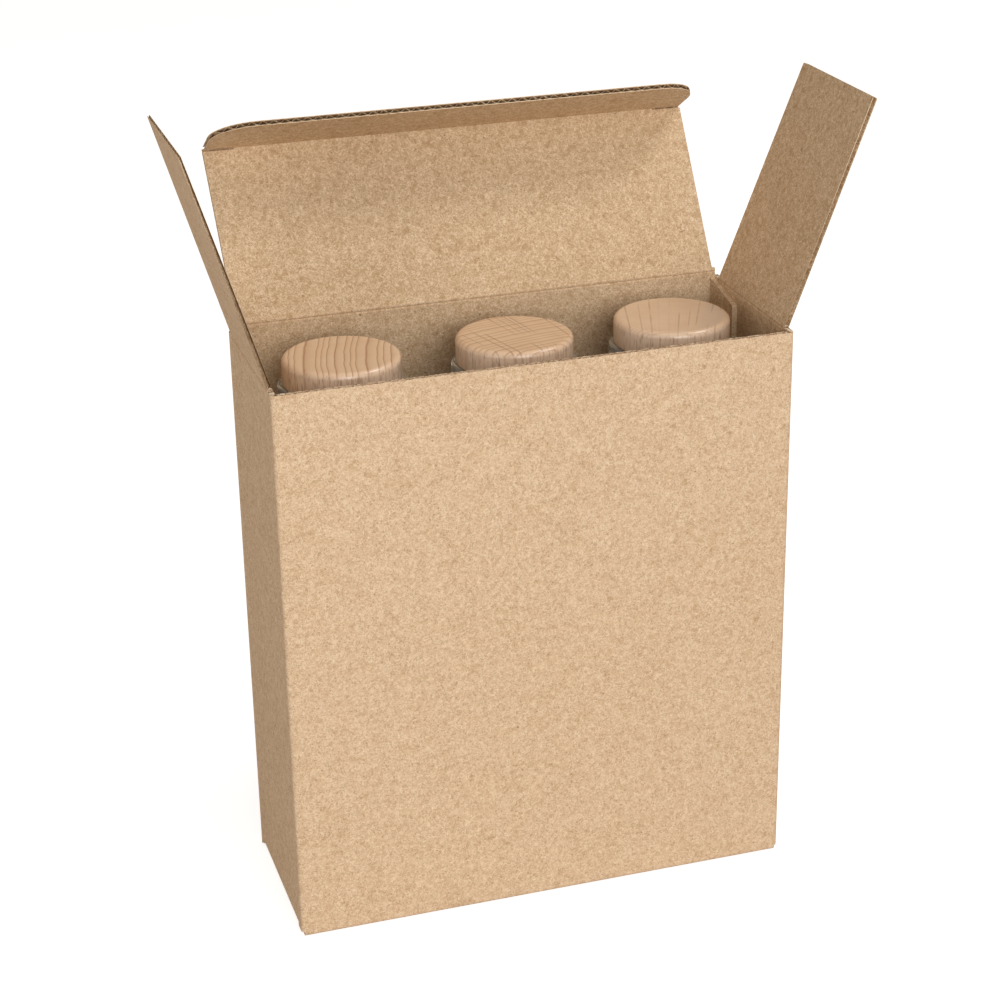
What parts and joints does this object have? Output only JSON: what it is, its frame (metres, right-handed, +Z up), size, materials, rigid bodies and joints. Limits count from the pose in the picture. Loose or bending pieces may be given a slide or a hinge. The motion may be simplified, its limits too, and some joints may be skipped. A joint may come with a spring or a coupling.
{
  "type": "bottle shipping box",
  "caption": "Upright corrugated board carton with a tuck lid and side dust flaps standing open, holding a row of round bottles with wooden-headed stoppers.",
  "frame": {"origin": "middle of the carton's underside, halfway between its side walls and between its front and back walls", "axes": "the front wall looks to -Y, +X is to the right seen from the front, +Z is up; the lid is hinged on the back wall"},
  "size_m": [0.1934, 0.0883, 0.234],
  "materials": {
    "kraft_board": "matte",
    "clear_glass": "clear",
    "beech": "satin",
    "cork": "matte"
  },
  "bodies": {
    "carton": {"carton_shell": "kraft_board", "left_bottle": "clear_glass", "middle_bottle": "clear_glass", "right_bottle": "clear_glass", "left_stopper_head": "beech", "middle_stopper_head": "beech", "right_stopper_head": "beech", "left_stopper_plug": "cork", "middle_stopper_plug": "cork", "right_stopper_plug": "cork"},
    "lid": {"lid_panel": "kraft_board"},
    "tuck": {"tuck_flap": "kraft_board"},
    "left_dust": {"left_dust_flap": "kraft_board"},
    "right_dust": {"right_dust_flap": "kraft_board"}
  },
  "joints": [
    {"name": "lid_hinge", "type": "hinge", "parent": "carton", "child": "lid", "pos_m": [0, 0.02775, 0.1704], "axis": [1, 0, 0], "range_deg": [-54, 126]},
    {"name": "tuck_fold", "type": "hinge", "parent": "lid", "child": "tuck", "pos_m": [0, 0.05914, 0.2136], "axis": [1, 0, 0], "range_deg": [-102, 3]},
    {"name": "left_dust_hinge", "type": "hinge", "parent": "carton", "child": "left_dust", "pos_m": [-0.07425, 0, 0.1686], "axis": [0, 1, 0], "range_deg": [-73.6, 106.4]},
    {"name": "right_dust_hinge", "type": "hinge", "parent": "carton", "child": "right_dust", "pos_m": [0.07425, 0, 0.1686], "axis": [0, -1, 0], "range_deg": [-69.1, 110.9]}
  ]
}
